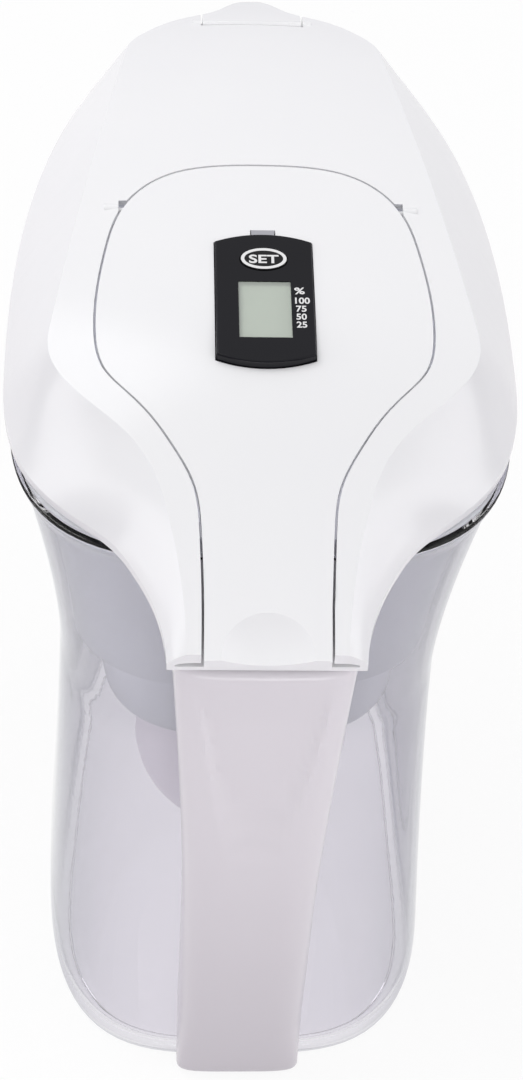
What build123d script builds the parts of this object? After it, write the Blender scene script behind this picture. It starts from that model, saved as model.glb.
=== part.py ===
from build123d import *
import os
from math import atan, cos, exp, hypot, log, pi, sin, sqrt

os.makedirs("parts", exist_ok=True)

# Water filter pitcher, in millimetres. The origin is on the table under the middle of
# the whole object, +Z is up, +Y points to the pouring lip and the handle is at -Y.

# Clearances
fit_gap = 0.05          # radial, shafts and seals that run in a bore
seat_gap = 0.3          # between pieces that rest on each other and lift apart
slip_gap = 0.6          # round pieces that drop into one another

# Heights that the pieces hang on
rim_z = 238.2           # top of the jug
flange_wall = 1.5       # the hopper's flange lies on the jug's rim
lid_edge_gap = 0.5      # lid skirt above that flange

# Lid plan
lid_half_width = 72.9
widest_y = -28.0        # where jug, hopper and lid are widest
lid_front = 121.0       # front of the rounded outline, without the lip
lid_rear = 89.5         # rear of the rounded outline, without the tail
lip_reach = 7.0         # how far the pouring lip stands out of that outline
lip_half_width = 12.0
lid_front_power = 2.3
lid_rear_power = 2.4
tail_end = 119.6
tail_half_width = 26.8
tail_flare = 12.5       # widening of the tail towards the lid
tail_flare_length = 33.0
tail_flare_power = 1.95
tail_blend = 20

# Lid heights
lid_edge_z = rim_z + seat_gap + flange_wall + lid_edge_gap
lid_skirt = 3.0         # upright part of the skirt
crown_rise = 31.9       # crown above the skirt's edge
lid_top_z = lid_edge_z + crown_rise
lid_top_y = -15.0       # highest point of the crown
crown_front_drop = 25.4
crown_rear_drop = 31.0
crown_front_power = 2.0
crown_rear_power = 2.2
tail_edge_drop = 7.0    # how much lower the skirt runs at the tail
tail_drop_start = 75.0
crown_sag = 5.0         # crown's fall from the middle to the crease, at the widest place
lid_wall = 2.2
tab_wall = 4.0          # thicker wall under the thumb tab
lid_rib_wall = 1.6
lid_rib_depth = 8.0
web_places = (-50.0, -5.0, 40.0)
web_height = 9.0
deck_wall = 1.6
deck_start = 14.0       # from where the skirt begins to drop
post_x = 11.0
post_y = 112.0
post_wall = 2.0

# Crease between the lid's crown and its sloping flank
crease_half_width = 59.3
crease_taper = 0.163    # narrowing towards the front, per millimetre
crease_corner_y = -42.9
crease_corner_slope = 1.05
crease_round = 1.6
crease_margin = 3.0     # least width of the flank
tail_crease = 22.0
tail_crease_flare = 0.0042
tail_crease_length = 60.0
flank_bulge = 1.0

# Refill flap
flap_front_y = 32.0
flap_axis_y = 16.0
flap_barrel_radius = 1.9
flap_axis_depth = 2.1   # axis below the surface at the barrel's ends
flap_half_span = 37.6
flap_barrel_length = 13.0
flap_gap = 0.7
flap_tab_end = 121.0
seam_corner = (18.0, 5.0)
seam_points = [
    (0.0, flap_front_y),
    (12.0, flap_front_y - 0.3),
    (23.0, flap_front_y - 2.2),
    (31.0, 25.6),
    (36.9, 19.5),
    (41.2, 11.0),
    (44.0, -1.0),
    (46.2, -17.0),
    (46.6, -31.0),
    (44.0, -43.5),
    (37.6, -51.5),
    (31.5, -58.5),
    (24.5, -69.0),
    (19.4, -79.0),
    (17.6, -92.0),
    (17.0, -108.0),
]
thumb_radius = 13.0
thumb_depth = 2.2
hinge_rod_radius = 0.8
hinge_room = 1.0        # round the flap's edge beside the pin
lug_width = 4.0
lug_end_wall = 0.8

# Pouring flap
spout_axis_y = 112.4
spout_half_width = 15.4
spout_axis_depth = 1.6
spout_lip_radius = 2.6
spout_barrel_radius = 1.9
spout_gap = 0.6
spout_lug_width = 2.6

# Jug
rim_inset = 2.6         # lid overhang over the rim
waist_z = 142.0
heel_radius = 5.0
jug_wall = 2.4
jug_floor = 5.0
foot_rise = 1.5         # hollow under the floor
foot_width = 6.0
waist_half_width = 58.8
waist_front = 92.0
waist_rear = 83.0
foot_half_width = 64.5
foot_front = 88.0
foot_rear = 120.0
rim_rear_power = 3.0
waist_rear_power = 3.1
foot_rear_power = 3.5
upper_curve_power = 1.7
lower_curve_power = 1.35
lip_start_z = 190.0
rim_bead = 1.0
rim_bead_height = 4.0

# Handle
handle_reach = 128.0
handle_bow = 7.0
handle_bow_z = 70.0
handle_depth = 16.0
handle_half_width = 20.4
handle_top_half_width = 25.8
handle_widening_z = 100.0
handle_widening_power = 1.6
handle_top_gap = 0.4    # below the lid's tail
handle_top_z = lid_edge_z - tail_edge_drop - handle_top_gap
handle_low_z = 0.4
handle_wall = 2.2
handle_power = 2.8
liner_wall = 2.2
liner_low_z = 66.0
liner_high_z = 216.0
bridge_half_width = 17.0
bridge_low_z = 219.0
root_half_width = 17.0
root_high_z = 58.0
root_low_z = 4.0
root_overlap = 4.0      # how far bridge and root run into what they join

# Hopper
hopper_wall = 2.0
hopper_gap = 1.6        # between hopper and jug wall
step_depth = 73.2       # below the jug's rim
hopper_depth = 103.2
step_z = rim_z - step_depth
hopper_floor_z = rim_z - hopper_depth
hopper_front_top = 88.0
hopper_front_step = 64.0
hopper_front_power = 2.6
tier_half_width = 48.0
tier_draft = 1.2
tier_front = 50.0
tier_rear = 78.0
flange_front = 72.0
socket_depth = 10.0
socket_wall = 1.8

# Filter cartridge
cartridge_y = -37.0
cartridge_radius = 35.0
cartridge_wall = 1.6
cartridge_drop = 80.0   # below the hopper's floor
cartridge_low_z = hopper_floor_z - cartridge_drop
cartridge_round = 24.0
cartridge_flange = 2.2
cartridge_flange_radius = 37.2
cap_height = 12.0
cap_radius = 36.0
seal_height = 4.0
seal_groove = 1.0
seal_drop = 2.0         # below the hopper's floor
screen_wall = 1.0
slot_count = 12
slot_width = 2.4
pull_height = 14.0
pull_half_width = 12.0
pull_wall = 3.2

# Change indicator
module_half_width = 13.65
module_front = -0.7     # y of the straight side's far end
module_rear = -42.6     # y of the straight side's near end
module_bow = 2.8        # how far the rounded ends stand out
module_proud = 0.5      # above the crown
module_top_z = lid_top_z + module_proud
bezel_wall = 1.2
bezel_height = 2.4
module_height = 10.4
case_wall = 1.0
window_half_width = 7.3
window_y = -26.2
window_half_length = 10.3
window_lip = 1.0
window_wall = 0.9
panel_wall = 1.6
board_wall = 1.0
board_gap = 0.1
cell_radius = 5.8
cell_height = 3.05
cell_y = -30.0
clip_wall = 0.3
clip_half_width = 3.0
button_y = -7.7
button_half_width = 6.6
button_half_length = 4.1
button_proud = 0.4
button_flange = 1.0
button_flange_wall = 0.6
button_gap = 0.25
pad_radius = 3.2
release_half_width = 3.25
release_length = 2.0
release_wall = 1.0

# Fineness of the free curves
ring_points = 24
arch_steps = 10
crown_steps = 6
flank_steps = 4
lid_stations = 28
jug_stations = 8
handle_stations = 8


def mix(low, high, share):
    """A value between low and high."""
    return low + (high - low) * share


def smooth_curve(points, closed=False):
    """A spline at even steps, so that stacked outlines share their knots."""
    count = len(points) + (1 if closed else 0)
    steps = [index / (count - 1) for index in range(count)]
    return Edge.make_spline(points, periodic=closed, parameters=steps)


def plan_ring(z, half_width, front, rear, front_power, rear_power, lip=0.0):
    """A closed plan outline at height z: two half superellipses that meet at the widest
    line, with the pouring lip standing out at the front."""
    points = []
    for step in range(ring_points):
        turn = 2 * pi * step / ring_points
        across, along = cos(turn), sin(turn)
        reach = front - widest_y if along >= 0 else rear + widest_y
        power = front_power if along >= 0 else rear_power
        share = abs(across / half_width) ** power + abs(along / reach) ** power
        radius = share ** (-1 / power)
        x = radius * across
        y = widest_y + radius * along
        if along > 0:
            y += lip * exp(-((x / lip_half_width) ** 4))
        points.append((x, y, z))
    return make_face(smooth_curve(points, closed=True))


def stack(rings):
    """A smooth solid through closed outlines at rising heights."""
    return loft([Sketch() + ring for ring in rings])


def heights(low, high, count):
    return [mix(low, high, step / count) for step in range(count + 1)]


# The jug's outline at any height
def jug_share(z):
    if z >= waist_z:
        return ((z - waist_z) / (rim_z - waist_z)) ** upper_curve_power
    return ((waist_z - z) / (waist_z - heel_radius)) ** lower_curve_power


def jug_size(z, waist, rim, foot):
    """A jug size that runs from foot to waist to rim."""
    return mix(waist, rim if z >= waist_z else foot, jug_share(z))


def jug_half_width(z):
    return jug_size(z, waist_half_width, lid_half_width - rim_inset, foot_half_width)


def jug_front(z):
    return jug_size(z, waist_front, lid_front - rim_inset, foot_front)


def jug_rear(z):
    return jug_size(z, waist_rear, lid_rear - rim_inset, foot_rear)


def jug_rear_power(z):
    return jug_size(z, waist_rear_power, rim_rear_power, foot_rear_power)


def jug_lip(z):
    return lip_reach * max(0.0, (z - lip_start_z) / (rim_z - lip_start_z)) ** 2


def jug_ring(z, inset, flat_z=None):
    size_z = max(z if flat_z is None else flat_z, heel_radius)
    return plan_ring(
        z,
        jug_half_width(size_z) - inset,
        jug_front(size_z) - inset,
        jug_rear(size_z) - inset,
        lid_front_power,
        jug_rear_power(size_z),
        jug_lip(size_z),
    )


def heel_inset(z):
    rise = max(0.0, heel_radius - z) / heel_radius
    return heel_radius * (1 - sqrt(1 - rise**2)) * 0.8


def jug_solid(inset, low_z, high_z):
    low = [low_z + heel_radius * share for share in (0.0, 0.15, 0.45, 1.0)]
    rising = heights(low[-1], high_z, jug_stations)[1:]
    rings = []
    for z in low + rising:
        rings.append(jug_ring(z, inset + heel_inset(z - low_z)))
    return stack(rings)


# The lid's outline and crown at any place along the object
def superellipse_half(share, power):
    return max(0.0, 1 - abs(share) ** power) ** (1 / power)


def front_edge(x, inset):
    """The y of the lid's front outline at a half width x."""
    share = superellipse_half(x / (lid_half_width - inset), lid_front_power)
    lip = lip_reach * exp(-((x / (lip_half_width - inset / 2)) ** 4))
    return widest_y + (lid_front - inset - widest_y) * share + lip


def lid_half_width_at(y, inset):
    """The lid's half width at y, found by halving on the front and worked out behind."""
    if y >= widest_y:
        low, high = 0.0, lid_half_width - inset
        for _ in range(40):
            middle = (low + high) / 2
            if front_edge(middle, inset) > y:
                low = middle
            else:
                high = middle
        return low
    reach = lid_rear - inset + widest_y
    body = (lid_half_width - inset) * superellipse_half(min(1.0, (widest_y - y) / reach), lid_rear_power)
    flare = max(0.0, (y + flap_tab_end) / tail_flare_length) ** tail_flare_power
    tail = tail_half_width - inset + tail_flare * flare
    if y > -tail_drop_start:
        return body
    return (body**tail_blend + tail**tail_blend) ** (1 / tail_blend)


def crown_z(y):
    if y >= lid_top_y:
        share = (y - lid_top_y) / (lid_front + lip_reach - lid_top_y)
        return lid_top_z - crown_front_drop * share**crown_front_power
    share = (lid_top_y - y) / (tail_end + lid_top_y)
    return lid_top_z - crown_rear_drop * share**crown_rear_power


def tail_share(y, start, length):
    return min(1.0, max(0.0, (-start - y) / length))


def skirt_z(y):
    return lid_edge_z - tail_edge_drop * tail_share(y, tail_drop_start, tail_end - tail_drop_start) ** 2


def soft_least(first, second, blend):
    """The smaller of two values, with a rounded change from one to the other."""
    return min(first, second) - blend * log(1 + exp(-abs(first - second) / blend))


def crease_x(y):
    """The half width at which the crown meets the flank."""
    front = crease_half_width - crease_taper * max(0.0, y - widest_y)
    rear = crease_half_width - crease_corner_slope * (crease_corner_y - y)
    body = soft_least(front, rear, crease_round)
    tail = tail_crease + tail_crease_flare * min(y + tail_end, tail_crease_length) ** 2
    whole = -soft_least(-body, -tail, crease_round)
    return soft_least(whole, lid_half_width_at(y, 0) - crease_margin, crease_round)


def sag_at(x):
    """The crown's fall from the middle to a half width x."""
    return crown_sag * (x / crease_half_width) ** 2


def flank_point(share, crease, edge):
    """A point of the gently bulging flank, from the crease (share 0) to the skirt (share 1)."""
    across, down = edge[0] - crease[0], edge[1] - crease[1]
    length = hypot(across, down)
    bulge = 4 * flank_bulge * share * (1 - share) * min(1.0, length / 20)
    x = crease[0] + across * share - bulge * down / length
    return x, crease[1] + down * share + bulge * across / length


def surface_z(x, y):
    """The height of the lid's outer surface on the crown."""
    return crown_z(y) - sag_at(x)


def arch_face(y, inset, drop):
    """The lid's cross section at y, drawn in by inset and lowered by drop."""
    width = lid_half_width_at(y, inset)
    low = skirt_z(y)
    edge_z = low + lid_skirt - 0.3 * inset
    top_z = max(crown_z(y) - drop, edge_z + 0.9)
    half = min(crease_x(y) - 0.63 * inset, width - 1.0)
    half_z = max(top_z - sag_at(half), edge_z + 0.6)
    crown = []
    for step in range(crown_steps + 1):
        x = mix(half, -half, step / crown_steps)
        crown.append((x, y, top_z - (top_z - half_z) * (x / half) ** 2))
    right = []
    for step in range(flank_steps + 1):
        x, z = flank_point(1 - step / flank_steps, (half, half_z), (width, edge_z))
        right.append((x, y, z))
    left = [(-x, y, z) for x, y, z in reversed(right)]
    base_z = low - (2.0 if inset else 0.0)
    return make_face([
        smooth_curve(right),
        smooth_curve(crown),
        smooth_curve(left),
        Line(left[-1], (-width, y, base_z)),
        Line((-width, y, base_z), (width, y, base_z)),
        Line((width, y, base_z), right[0]),
    ])


def dome(inset, drop, rear_end, tab_drop=0.0):
    """The lid as one arched solid from the tail to the pouring lip."""
    front_end = front_edge(0, inset) - 0.5
    sections = []
    for step in range(lid_stations + 1):
        share = (1 - cos(pi * step / lid_stations)) / 2
        y = mix(-rear_end, front_end, share)
        extra = tab_drop * tail_share(y, tail_drop_start, 20.0)
        sections.append(Sketch() + arch_face(y, inset, drop + extra))
    return loft(sections)


def slab(x_low, x_high, y_low, y_high, z_low, z_high):
    """A box between corners."""
    size = (x_high - x_low, y_high - y_low, z_high - z_low)
    centre = ((x_low + x_high) / 2, (y_low + y_high) / 2, (z_low + z_high) / 2)
    return Pos(*centre) * Box(*size)


def cross_rod(y, z, radius, x_low, x_high):
    """A cylinder along X."""
    centre = Pos((x_low + x_high) / 2, y, z)
    return centre * Rot(0, 90, 0) * Cylinder(radius, x_high - x_low)


def both_sides(solid):
    return solid + mirror(solid, about=Plane.YZ)


def disc(y, z_low, z_high, radius):
    centre = Pos(0, y, (z_low + z_high) / 2)
    return centre * Cylinder(radius, z_high - z_low)


def write(shape, name):
    """One STEP file for a named piece."""
    export_step(shape, "parts/" + name + ".step")


# Jug, one clear moulding with rim bead, floor, foot ring and the handle's core
def handle_back(z):
    return -handle_reach + handle_bow * ((z - handle_bow_z) / (handle_top_z - handle_bow_z)) ** 2


def handle_half(z):
    share = max(0.0, (z - handle_widening_z) / (handle_top_z - handle_widening_z))
    return mix(handle_half_width, handle_top_half_width, share**handle_widening_power)


def handle_section(z, inset, front_trim):
    """A rounded back with a flat front, drawn in by inset."""
    back = handle_back(z) + inset
    front = handle_back(z) + handle_depth - front_trim
    half = handle_half(z) - inset
    points = []
    for step in range(arch_steps + 1):
        turn = pi * step / arch_steps
        across, deep = cos(turn), sin(turn)
        scale = (abs(across) ** handle_power + deep**handle_power) ** (-1 / handle_power)
        points.append((half * across * scale, front - (front - back) * deep * scale, z))
    return make_face([smooth_curve(points), Line(points[-1], points[0])])


def handle_solid(inset, front_trim, low_z, high_z):
    """The grip's form between two heights."""
    levels = heights(0, handle_top_z + 2, handle_stations)
    whole = loft([Sketch() + handle_section(z, inset, front_trim) for z in levels])
    return whole & slab(-50, 50, -handle_reach - 10, 0, low_z, high_z)


def behind_liner():
    """Everything in the grip that lies behind the liner."""
    levels = heights(0, handle_top_z + 2, handle_stations)
    trim = liner_wall + seat_gap
    line = [(handle_back(z) + handle_depth - trim, z) for z in levels]
    far = -handle_reach - 10
    side = make_face([
        Spline(*line), Line(line[-1], (far, line[-1][1])),
        Line((far, line[-1][1]), (far, line[0][1])), Line((far, line[0][1]), line[0]),
    ])
    return extrude(Plane.YZ * side, amount=50, both=True)


def handle_core():
    """The clear spine inside the grip, its bridge to the rim and its root at the foot."""
    inset = handle_wall + seat_gap
    spine = handle_solid(inset, -1.0, root_low_z, handle_top_z - handle_wall - seat_gap) & behind_liner()
    spine_front = -handle_reach + handle_depth
    top = handle_top_z - handle_wall - seat_gap
    bridge = slab(
        -bridge_half_width, bridge_half_width,
        spine_front - root_overlap, -jug_rear(rim_z) + root_overlap, bridge_low_z, top,
    )
    root_front = -jug_rear(root_high_z) + root_overlap
    root = slab(
        -root_half_width, root_half_width,
        spine_front - root_overlap, root_front, root_low_z, root_high_z,
    )
    return spine + bridge + root


def make_jug_body():
    outer = jug_solid(0, 0, rim_z)
    bead_low = jug_ring(rim_z - rim_bead_height, -rim_bead * 0.2)
    bead = stack([
        bead_low,
        jug_ring(rim_z - rim_bead_height * 0.75, -rim_bead),
        jug_ring(rim_z, -rim_bead, rim_z),
    ])
    shell = outer + bead
    cavity = jug_solid(jug_wall, jug_floor, rim_z + 6)
    foot_inset = foot_width + heel_inset(0)
    hollow = extrude(jug_ring(0, foot_inset), amount=foot_rise)
    return shell - cavity - hollow


def make_handle_spine():
    """The clear core of the grip, joined to the jug by its bridge and its root."""
    return handle_core() - jug_solid(-fit_gap, 0, rim_z)


def make_handle_cover():
    foot_high = handle_low_z + handle_wall
    shell = handle_solid(0, 0, handle_low_z, handle_top_z)
    channel = handle_solid(handle_wall, -1.0, foot_high, handle_top_z - handle_wall)
    opening_top = slab(
        -bridge_half_width - seat_gap, bridge_half_width + seat_gap,
        -handle_reach + handle_depth - liner_wall - 3, 0,
        bridge_low_z - seat_gap, handle_top_z - handle_wall,
    )
    jug_room = jug_solid(-slip_gap, 0, rim_z)
    return shell - channel - opening_top - jug_room


def make_handle_liner():
    inset = handle_wall + seat_gap
    levels = heights(liner_low_z, liner_high_z, 5)
    plates = []
    for z in levels:
        half = handle_half(z) - inset
        front = handle_back(z) + handle_depth
        plates.append(Plane(origin=(0, front - liner_wall / 2, z)) * Rectangle(2 * half - 1.2, liner_wall))
    return loft(plates)


# Hopper, the smoky upper reservoir in two tiers with the cartridge's socket
socket_radius = cartridge_radius + slip_gap


def hopper_ring(z, inset):
    return plan_ring(
        z,
        jug_half_width(z) - jug_wall - hopper_gap - inset,
        mix(hopper_front_step, hopper_front_top, (z - step_z) / (rim_z - step_z)) - inset,
        jug_rear(z) - jug_wall - hopper_gap - inset,
        hopper_front_power,
        jug_rear_power(z),
    )


def tier_ring(z, inset):
    draft = tier_draft * (step_z - z) / (step_z - hopper_floor_z)
    return plan_ring(
        z,
        tier_half_width - draft - inset,
        tier_front - draft - inset,
        tier_rear - draft - inset,
        hopper_front_power,
        waist_rear_power,
    )


def make_hopper():
    flange_low = rim_z + seat_gap
    flange_high = flange_low + flange_wall
    upper = stack([hopper_ring(z, 0) for z in heights(step_z, flange_high, 5)])
    lower = stack([tier_ring(z, 0) for z in heights(hopper_floor_z, step_z, 2)])
    rim = Pos(0, 0, flange_low - rim_z) * extrude(jug_ring(rim_z, 0.4), amount=flange_wall)
    rim = rim & slab(-90, 90, -140, flange_front, flange_low - 1, flange_high + 1)
    upper_levels = heights(step_z + hopper_wall, flange_high + 4, 5)
    lower_levels = heights(hopper_floor_z + hopper_wall, step_z + hopper_wall, 2)
    upper_room = stack([hopper_ring(z, hopper_wall) for z in upper_levels])
    lower_room = stack([tier_ring(z, hopper_wall) for z in lower_levels])
    bore = disc(cartridge_y, hopper_floor_z - 1, hopper_floor_z + hopper_wall + 1, socket_radius)
    return upper + lower + rim - upper_room - lower_room - bore


def make_hopper_socket():
    """The tube under the hopper's floor, in which the cartridge's seal sits."""
    high = hopper_floor_z - fit_gap
    low = high - socket_depth
    tube = disc(cartridge_y, low, high, socket_radius + socket_wall)
    return tube - disc(cartridge_y, low - 1, high + 1, socket_radius)


# Cartridge, lifted out of the hopper's socket
seat_z = hopper_floor_z + hopper_wall + seat_gap
cartridge_top_z = seat_z + cartridge_flange
seal_high_z = hopper_floor_z - seal_drop


def slots(z_low, z_high, inner, outer):
    """Radial slots round the cartridge's axis."""
    cutters = []
    for index in range(slot_count):
        turn = 360 / slot_count * index
        length = outer - inner
        bar = Pos((inner + outer) / 2, 0, (z_low + z_high) / 2) * Box(length, slot_width, z_high - z_low)
        cutters.append(Pos(0, cartridge_y, 0) * Rot(0, 0, turn) * bar)
    return cutters


def cup(radius, low_z, high_z, rounding):
    """A round cup's outer solid with a rounded lower edge."""
    solid = disc(cartridge_y, low_z, high_z, radius)
    return fillet(solid.edges().group_by(Axis.Z)[0], rounding)


def make_cartridge_body():
    outer = cup(cartridge_radius, cartridge_low_z, cartridge_top_z, cartridge_round)
    flange = disc(cartridge_y, seat_z, cartridge_top_z, cartridge_flange_radius)
    room_radius = cartridge_radius - cartridge_wall
    room_low = cartridge_low_z + cartridge_wall
    room = cup(room_radius, room_low, cartridge_top_z + 5, cartridge_round - cartridge_wall)
    seal_low = seal_high_z - seal_height
    groove = disc(cartridge_y, seal_low, seal_high_z, cartridge_radius + 1)
    groove = groove - disc(cartridge_y, seal_low, seal_high_z, cartridge_radius - seal_groove)
    body = outer + flange - room - groove
    for cutter in slots(cartridge_low_z - 1, cartridge_low_z + cartridge_wall + 0.01, 6.0, 10.5):
        body = body - cutter
    return body


def make_cartridge_seal():
    low = seal_high_z - seal_height
    ring = disc(cartridge_y, low, seal_high_z, cartridge_radius + slip_gap - fit_gap)
    return ring - disc(cartridge_y, low - 1, seal_high_z + 1, cartridge_radius - seal_groove)


def make_cartridge_cap():
    low = cartridge_top_z
    high = low + cap_height
    outer = disc(cartridge_y, low, high, cap_radius)
    outer = fillet(outer.edges().group_by(Axis.Z)[-1], cap_height * 0.6)
    room = disc(cartridge_y, low - 1, high - cartridge_wall, cap_radius - cartridge_wall)
    room = fillet(room.edges().group_by(Axis.Z)[-1], cap_height * 0.6 - cartridge_wall)
    cap = outer - room
    for cutter in slots(high - cartridge_wall - 1, high + 1, 14.0, 25.0):
        cap = cap - cutter
    pull = Plane.XZ.offset(-cartridge_y) * make_face([
        Line((-pull_half_width, high - 0.8), (-pull_half_width, high + pull_height * 0.4)),
        ThreePointArc(
            (-pull_half_width, high + pull_height * 0.4),
            (0, high + pull_height),
            (pull_half_width, high + pull_height * 0.4),
        ),
        Line((pull_half_width, high + pull_height * 0.4), (pull_half_width, high - 0.8)),
        Line((pull_half_width, high - 0.8), (-pull_half_width, high - 0.8)),
    ])
    grip = extrude(pull, amount=pull_wall / 2, both=True)
    hole = Pos(0, cartridge_y, high + pull_height * 0.45) * Rot(90, 0, 0) * Cylinder(4.0, pull_wall * 3)
    return cap + (grip - hole)


def make_outlet_screen():
    low = cartridge_low_z + cartridge_wall
    return disc(cartridge_y, low, low + screen_wall, cartridge_radius - cartridge_round)


def make_inlet_screen():
    radius = cartridge_radius - cartridge_wall - fit_gap
    return disc(cartridge_y, cartridge_top_z - screen_wall, cartridge_top_z, radius)


def make_filter_media():
    wall = cartridge_wall + 0.1
    low = cartridge_low_z + cartridge_wall + screen_wall
    return cup(cartridge_radius - wall, low, cartridge_top_z - screen_wall, cartridge_round - wall - 0.6)


# Lid
def outward(x, y, grow):
    """A seam point moved outward by grow, round the centre of the seam's front corner."""
    corner_x, corner_y = seam_corner
    if y < corner_y:
        return x + grow, y
    across, along = max(0.0, x - corner_x), y - corner_y
    reach = hypot(across, along)
    return x + grow * across / reach, y + grow * along / reach


def seam_face(grow, z):
    """The refill flap's plan outline, from the middle of its front edge back along the
    right side to the thumb tab and up the left side."""
    right = [outward(x, y, grow) for x, y in seam_points]
    right.append((seam_points[-1][0] + grow, -flap_tab_end - grow))
    mirrored = [(-x, y) for x, y in reversed(right)]
    side = Spline(*right, tangents=[(1, 0), (0, -1)])
    other = Spline(*mirrored, tangents=[(0, 1), (1, 0)])
    return Pos(0, 0, z) * make_face([side, Line(right[-1], mirrored[0]), other])


def seam_prism(grow, low_z):
    return extrude(seam_face(grow, low_z), amount=lid_top_z + 10 - low_z)


flap_axis_z = surface_z(flap_half_span, flap_axis_y) - flap_axis_depth
spout_axis_z = surface_z(spout_half_width, spout_axis_y) - spout_axis_depth
module_low_z = module_top_z - module_height
board_z = module_low_z + case_wall + cell_height + board_gap
seam_low_z = lid_edge_z - tail_edge_drop + deck_wall + slip_gap

full_dome = dome(0, 0, flap_tab_end)
lid_room = dome(lid_wall, lid_wall, flap_tab_end + 3, tab_wall - lid_wall)
dome_shell = full_dome - lid_room


def seam_half(y):
    """The refill flap's half width at y, between the seam's points."""
    for (x_low, y_high), (x_high, y_low) in zip(seam_points, seam_points[1:]):
        if y_low <= y <= y_high:
            return mix(x_low, x_high, (y_high - y) / (y_high - y_low))
    return seam_points[-1][0]


# the lid's lugs stand clear of the flap's edge beside the pin
lug_low = seam_half(flap_axis_y - flap_barrel_radius - hinge_room) + flap_gap


def hinge_clearance():
    """Room in the lid for the refill flap's edge as it turns beside the pin."""
    reach = lug_low
    return cross_rod(flap_axis_y, flap_axis_z, flap_barrel_radius + hinge_room, -reach, reach)


def spout_region(grow):
    """Everything the pouring flap may fill: ahead of its axis and the lip behind it."""
    half = spout_half_width + grow
    front = slab(-half, half, spout_axis_y, lid_front + lip_reach + 5, lid_edge_z - 5, lid_top_z)
    lip = cross_rod(spout_axis_y, spout_axis_z, spout_lip_radius + grow, -half, half)
    return front + lip


def module_outline(grow):
    """The change indicator's plan outline: straight sides and rounded ends."""
    half = module_half_width + grow
    front, rear = module_front + grow, module_rear - grow
    return make_face([
        Line((half, rear), (half, front)),
        ThreePointArc((half, front), (0, front + module_bow), (-half, front)),
        Line((-half, front), (-half, rear)),
        ThreePointArc((-half, rear), (0, rear - module_bow), (half, rear)),
    ])


def module_block(grow, low_z, high_z):
    return extrude(Pos(0, 0, low_z) * module_outline(grow), amount=high_z - low_z)


def make_lid_rib():
    """The upright rib that centres the lid in the hopper's mouth."""
    low = rim_z + seat_gap + flange_wall - lid_rib_depth
    inset = hopper_wall + slip_gap
    outer = extrude(hopper_ring(low, inset), amount=lid_top_z - low)
    inner = extrude(hopper_ring(low, inset + lid_rib_wall), amount=lid_top_z - low)
    return (outer - inner) & full_dome


def make_lid_webs():
    """Short webs that carry the lid on the hopper's flange."""
    low = rim_z + seat_gap + flange_wall + seat_gap
    webs = []
    half = lid_rib_wall / 2
    for y in web_places:
        outer = lid_half_width_at(y, lid_wall / 2)
        inner = hopper_half_width_at(y)
        webs.append(slab(inner, outer, y - half, y + half, low, low + web_height))
    return both_sides(webs[0] + webs[1] + webs[2]) & full_dome


def hopper_half_width_at(y):
    """The lid rib's half width at y."""
    z = rim_z
    inset = jug_wall + hopper_gap + hopper_wall + slip_gap + lid_rib_wall / 2
    if y >= widest_y:
        reach = hopper_front_top - hopper_wall - slip_gap - lid_rib_wall / 2 - widest_y
        power = hopper_front_power
    else:
        reach = jug_rear(z) - inset + widest_y
        power = rim_rear_power
    return (jug_half_width(z) - inset) * superellipse_half((y - widest_y) / reach, power)


def make_tail_deck():
    """The deck that closes the tail from below, with two posts that the thumb tab rests on."""
    front = -tail_drop_start - deck_start
    along = [mix(-tail_end, front, step / 4) for step in range(5)]
    under = [(y, skirt_z(y) + 0.1) for y in along]
    over = [(y, z + deck_wall) for y, z in reversed(under)]
    side = make_face([
        Spline(*under), Line(under[-1], over[0]), Spline(*over), Line(over[-1], under[0]),
    ])
    deck = extrude(Plane.YZ * side, amount=tail_half_width - 1, both=True) & full_dome
    half = post_wall / 2
    post_top = surface_z(post_x + half, -post_y - half) - tab_wall - seat_gap
    post_low = skirt_z(-post_y) + deck_wall / 2
    post = slab(post_x - half, post_x + half, -post_y - half, -post_y + half, post_low, post_top)
    return deck + both_sides(post & full_dome)


def make_lid_shell():
    tail_cut = slab(-60, 60, -flap_tab_end - 5, -tail_end, 200, 300)
    shell = dome_shell + make_lid_rib() + make_lid_webs()
    shell = shell - seam_prism(flap_gap, seam_low_z) - hinge_clearance() - spout_region(spout_gap) - tail_cut
    shell = shell + make_tail_deck()
    lug = cross_rod(flap_axis_y, flap_axis_z, flap_barrel_radius, lug_low, lug_low + lug_width)
    spout_low = spout_half_width + spout_gap
    spout_end = spout_low + spout_lug_width
    spout_lug = cross_rod(spout_axis_y, spout_axis_z, spout_barrel_radius, spout_low, spout_end)
    shell = shell + both_sides(lug + spout_lug)
    rod = hinge_rod_radius + fit_gap
    flap_reach = lug_low + lug_width - lug_end_wall
    flap_bore = cross_rod(flap_axis_y, flap_axis_z, rod, -flap_reach, flap_reach)
    spout_reach = spout_end - lug_end_wall
    spout_bore = cross_rod(spout_axis_y, spout_axis_z, rod, -spout_reach, spout_reach)
    return shell - flap_bore - spout_bore


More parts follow.
